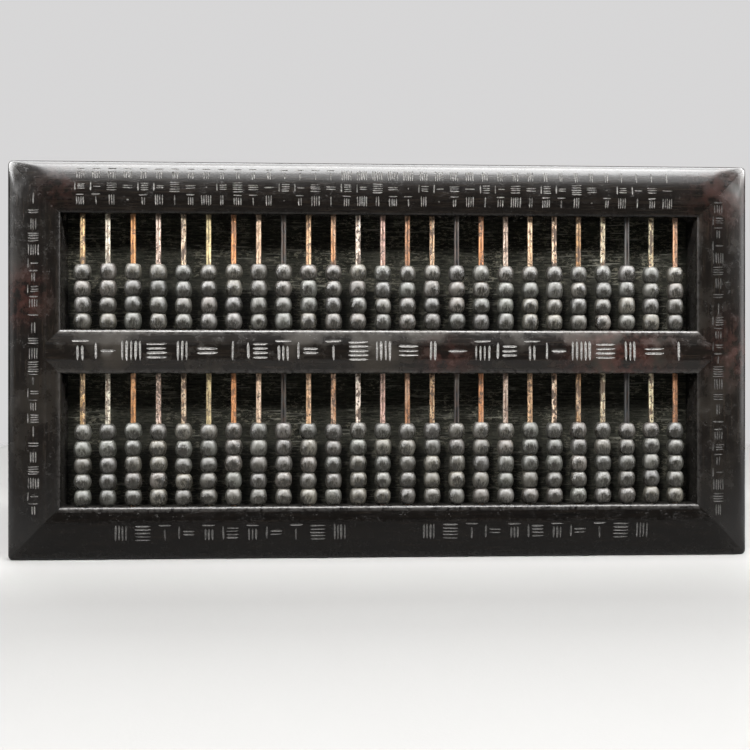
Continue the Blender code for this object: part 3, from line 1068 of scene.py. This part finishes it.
# %% Turned grey wood
def bead_finish():
    grey = Finish("bead_grey", IOR=1.45)
    own = grey.attribute("tone")
    painted_front_share = grey.attribute("tone", "Alpha")
    lumps = grey.cloud(2.6, 5.0, None, 0.65)
    fine = grey.cloud(0.35, 4.0, None, 0.75)
    grains = grey.cloud(1.1, 3.0, None, 0.6)
    stains = grey.cloud(3.4, 4.0, None, 0.6)
    each = grey.cloud(11.0, 1.0)
    scratches = grey.cloud(0.5, 3.0, grey.stretched((0.25, 0.25, 1.4)), 0.6)
    streaks = grey.cloud(0.8, 4.0, grey.stretched((1.0, 1.0, 0.35)), 0.65)
    bloom = grey.mix(fine.between(0.35, 0.70) * 0.45, own, (0.112, 0.106, 0.093))
    # Painted reflection and painted shade: the front and lower part of each bead are painted dark, for the
    # dark room it mirrors and the shade below, and made smoother.
    painted_dark_front = (painted_front_share * (0.35 + 1.3 * streaks.between(0.38, 0.62))).at_most(1.0)
    colour = grey.mix(painted_dark_front, bloom, (0.017, 0.0155, 0.012))
    colour = grey.mix(stains.between(0.50, 0.66) * 0.5, colour, (0.014, 0.013, 0.011))
    colour = grey.mix(scratches.between(0.62, 0.72) * 0.35, colour, (0.160, 0.155, 0.145))
    roughness = 0.29 + 0.10 * lumps + 0.14 * each - 0.26 * painted_dark_front
    relief = 0.7 * lumps + 0.5 * grains + 0.6 * fine + 0.3 * scratches
    return grey.finish_with(Base_Color=colour, Roughness=roughness, Normal=grey.bumps(relief, 0.24))


BEAD_FINISH = bead_finish()
BEAD_HEIGHT = (box("lower_beads_01")[1][2] - box("lower_beads_01")[0][2]) / 5
BEAD_RADIUS = (box("lower_beads_01")[1][0] - box("lower_beads_01")[0][0]) / 2
BORE_RADIUS = 1.95
BORE_RIM = 0.18
BORE_FALL = 0.12
LEAST_FLAT = 0.35
BEAD_SEGMENTS = 32
LUMP = 0.025
BEAD_CURVE_STEPS = 12
PAINTED_FRONT_WIDTH = 0.95
PAINTED_FRONT_HEIGHT = 0.42
UNEQUAL = 0.045
LOW_END = 0.9
PLAY = 0.30
MOST_LEAN = math.radians(3.4)
TINTS = (
    (0.060, 0.055, 0.044), (0.052, 0.054, 0.044), (0.062, 0.053, 0.044),
    (0.054, 0.050, 0.045), (0.065, 0.059, 0.044), (0.047, 0.046, 0.038),
)


def bead_profile(hand, tall, flat_share, squareness):
    """Radius and height, from the middle of the bead, down the outside and up the bore."""
    half = (tall - hand.uniform(0.05, 0.30)) / 2
    widest = BEAD_RADIUS * hand.uniform(0.945, 1.0)
    flats = [widest * flat_share * hand.uniform(0.92, 1.08) for _ in range(2)]
    top, bottom = (max(BORE_RADIUS + LEAST_FLAT, flat) for flat in flats)
    waist = hand.uniform(-0.12, 0.12)
    points = [(BORE_RADIUS, half - BORE_FALL), (BORE_RADIUS + BORE_RIM, half), (top * 0.94, half)]
    for step in range(1, BEAD_CURVE_STEPS):
        share = math.cos(math.pi * step / BEAD_CURVE_STEPS)
        end = top if share > waist else bottom
        reach = (share - waist) / ((1 if share > waist else -1) - waist)
        swell = (1 - abs(reach) ** squareness) ** (1 / squareness)
        points.append((end + (widest - end) * swell, half * share))
    points += [(bottom * 0.94, -half), (BORE_RADIUS + BORE_RIM, -half)]
    return points + [(BORE_RADIUS, BORE_FALL - half)]


def bead(hand, x, middle, tall, flat_share, squareness):
    """Rings of points of one bead, crooked and lumpy, round its rod, and how much of the painted dark front
    each point has.
    """
    angles = [math.radians(hand.gauss(0, spread)) for spread in (1.8, 2.4)]
    tip, tilt = (max(-MOST_LEAN, min(MOST_LEAN, angle)) for angle in angles)
    lean = Matrix.Rotation(tip, 4, "X") @ Matrix.Rotation(tilt, 4, "Y")
    aside, back = (hand.uniform(-1, 1) * (PLAY - abs(angle) * tall / 2) for angle in (tilt, tip))
    place = Vector((x + aside, ROD_Y + back, middle))
    lump = Vector((hand.uniform(0, 90), hand.uniform(0, 90), 0))
    depth, belt = hand.uniform(0.70, 1.65), hand.uniform(-0.35, 0.05)
    facing = hand.gauss(-math.pi / 2, 0.3)
    rings, painted_dark_front = [], []
    for radius, height in bead_profile(hand, tall, flat_share, squareness):
        ring = []
        for i in range(BEAD_SEGMENTS):
            a = 2 * math.pi * i / BEAD_SEGMENTS
            out = Vector((math.cos(a), math.sin(a), height / BEAD_RADIUS))
            swell = 1 + LUMP * (noise.noise(out * 1.3 + lump) - 0.3) if radius > BORE_RADIUS + 0.2 else 1.0
            ring.append(tuple(place + lean @ Vector((radius * swell * out.x, radius * swell * out.y, height))))
            # Painted reflection and painted shade: strongest at the bead's front, and spreading further below
            # than above.
            beside = math.remainder(a - facing, 2 * math.pi) / PAINTED_FRONT_WIDTH
            above = (out.z - belt) / (PAINTED_FRONT_HEIGHT if out.z > belt else 3 * PAINTED_FRONT_HEIGHT)
            painted_dark_front.append(depth * math.exp(-above * above - beside * beside))
        rings.append(ring)
    return rings, painted_dark_front


def stack(name, column, x, count, flat_share, squareness):
    """Beads of unequal height, each seated on the one below, so that a stack can end a little low."""
    hand = random.Random(f"{name} {column}")
    node = f"{name}_{column:02d}"
    (_, _, floor), (_, _, roof) = box(node)
    shares = [1 + hand.uniform(-UNEQUAL, UNEQUAL) for _ in range(count)]
    scale = (roof - floor - hand.uniform(0.0, LOW_END)) / sum(shares)
    vertices, faces, tones = [], [], []
    seat = floor
    for tall in (share * scale for share in shares):
        flats = flat_share + hand.uniform(-0.12, 0.12)
        rings, painted_dark_front = bead(hand, x, seat + tall / 2, tall, flats, squareness + hand.uniform(-0.2, 0.2))
        seat += tall
        rings = [[(px, py, min(max(pz, floor), roof)) for px, py, pz in ring] for ring in rings]
        add_rings(vertices, faces, rings, closed=True)
        light = hand.uniform(0.4, 1.6)
        tint = [part * light for part in hand.choice(TINTS)]
        tones += [(*tint, share) for share in painted_dark_front]
    piece = f"{name}_turned_{column:02d}"
    mesh = new_mesh(piece, vertices, faces)
    write_tone(mesh, tones)
    shown(piece, mesh, BEAD_FINISH, node, node)


for column, x in enumerate(PLACES, start=1):
    stack("upper_beads", column, x, 4, 0.53, 1.90)
    stack("lower_beads", column, x, 5, 0.50, 1.90)
print(COLUMNS * 9, "beads in", COLUMNS * 2, "stacks")


# %% [markdown]
# ## Floor and light
# The floor is pale paper, painted palest just in front of the tray as a painted pool of light, and
# darker further back under the lamp behind, as painted shade that evens out its light. One lamp could light
# all, but black wood shows little more than what it mirrors, so here the jobs are split. Two key
# lamps, in front and about 45 degrees up, only light: they draw the shadow of the rail on the
# back board. Wide panels overhead and at both sides only shine: they give the bright band on the
# crown and the beads' shoulders. A lamp behind the tray lights the floor there, and two weak side
# panels do both, for the rods' flanks. The front is left dark, so the polished faces look black.

# %% Paper floor
PAPER_REACH = 6.0
PAPER_CENTRE = (0.0, 0.35, 0.0)
PAPER_FULL = 0.72
PAPER_END = 0.92
# How far back each tone of the paper lies, in metres, and how pale it is: the palest, just in front of the
# tray, is a painted pool of light, and the darkest, further back, are painted shade.
PAPER_TONES_AND_PAINTED_LIGHT = (
    (-0.35, 0.310), (-0.18, 0.298), (-0.13, 0.325), (-0.09, 0.375), (-0.03, 0.450),
    (0.02, 0.352), (0.20, 0.345), (0.42, 0.285), (0.70, 0.290), (1.00, 0.320),
)


def paper():
    sheet = Finish("floor_paper", Roughness=0.9, Specular_IOR_Level=0.0)
    tone = sheet.cloud(60.0, 3.0)
    fibre = sheet.cloud(1.2, 3.0)
    _, back, _ = sheet.split(sheet.place)
    near, far = PAPER_TONES_AND_PAINTED_LIGHT[0][0], PAPER_TONES_AND_PAINTED_LIGHT[-1][0]
    stops = [((y - near) / (far - near), (grey, grey * 0.99, grey * 0.972)) for y, grey in PAPER_TONES_AND_PAINTED_LIGHT]
    colour = sheet.node("ShaderNodeValToRGB", {"stops": stops}, {"Fac": (back - near) * (1 / (far - near))})
    colour = sheet.mix(tone * 0.08, colour, (0.25, 0.25, 0.25))
    sheet.finish_with(Base_Color=colour, Normal=sheet.bumps(fibre, 0.05))
    fading = sheet.distance_to(PAPER_CENTRE).between(PAPER_FULL, PAPER_END)
    solid = Wire(sheet, sheet.shader.outputs[0])
    gone = sheet.node("ShaderNodeBsdfTransparent")
    blend = sheet.node("ShaderNodeMixShader", None, {0: fading, 1: solid, 2: gone})
    out = sheet.tree.nodes["Material Output"]
    sheet.feed(out.inputs["Surface"], blend)
    return sheet.material


def floor():
    size = PAPER_REACH
    corners = [(-size, -size, 0), (size, -size, 0), (size, size, 0), (-size, size, 0)]
    mesh = new_mesh("floor", corners, [(0, 1, 2, 3)], outward=False)
    mesh.materials.append(paper())
    placed("floor", mesh)


floor()
print("floor laid")

# %% Lamps
TARGET = Vector((0.0, 0.0, 0.105))
Lamp = namedtuple("Lamp", "name place width height power lights shines")
LAMPS = (
    Lamp("left_key", (-0.42, -0.92, 1.04), 0.45, 0.14, 20.0, True, False),
    Lamp("right_key", (0.48, -0.92, 1.04), 0.45, 0.14, 27.0, True, False),
    Lamp("front_sky", (0.05, -0.47, 1.10), 1.0, 0.55, 63.0, False, True),
    Lamp("low_sky", (0.06, -0.84, 0.90), 1.1, 0.26, 8.0, False, True),
    Lamp("top_sky", (0.0, 0.05, 1.35), 2.6, 1.0, 150.0, False, True),
    Lamp("left_sky", (-1.20, -0.35, 0.90), 1.0, 0.8, 85.0, False, True),
    Lamp("right_sky", (1.20, -0.35, 0.90), 1.0, 0.8, 70.0, False, True),
    Lamp("back_light", (0.0, 0.95, 1.20), 1.6, 0.8, 40.0, True, False),
    Lamp("left_panel", (-1.1, -0.15, 0.40), 0.5, 0.8, 1.8, True, True),
    Lamp("right_panel", (1.1, -0.10, 0.40), 0.5, 0.8, 5.0, True, True),
)


def hang(lamp):
    light = bpy.data.lights.new(lamp.name, "AREA")
    light.shape = "RECTANGLE"
    light.size = lamp.width
    light.size_y = lamp.height
    light.energy = lamp.power
    holder = placed(lamp.name, light)
    holder.location = lamp.place
    aim = TARGET - Vector(lamp.place)
    holder.rotation_euler = aim.to_track_quat("-Z", "Y").to_euler()
    holder.visible_camera = False
    holder.visible_diffuse = lamp.lights
    holder.visible_glossy = lamp.shines


for lamp in LAMPS:
    hang(lamp)
print(len(LAMPS), "lamps")

# %% Walls of the room
def room():
    """Pale grey where the camera looks past the tray, and dim for all that lights it."""
    world = bpy.data.worlds.new("room")
    world.use_nodes = True
    bpy.context.scene.world = world
    nodes, links = world.node_tree.nodes, world.node_tree.links
    nodes.clear()
    ray = nodes.new("ShaderNodeLightPath")
    seen, dim = nodes.new("ShaderNodeBackground"), nodes.new("ShaderNodeBackground")
    seen.inputs["Color"].default_value = (0.68, 0.675, 0.678, 1)
    dim.inputs["Color"].default_value = (0.018, 0.018, 0.019, 1)
    either, out = nodes.new("ShaderNodeMixShader"), nodes.new("ShaderNodeOutputWorld")
    links.new(ray.outputs["Is Camera Ray"], either.inputs[0])
    links.new(dim.outputs[0], either.inputs[1])
    links.new(seen.outputs[0], either.inputs[2])
    links.new(either.outputs[0], out.inputs["Surface"])


room()
print("room is pale to the camera and dim to the tray")
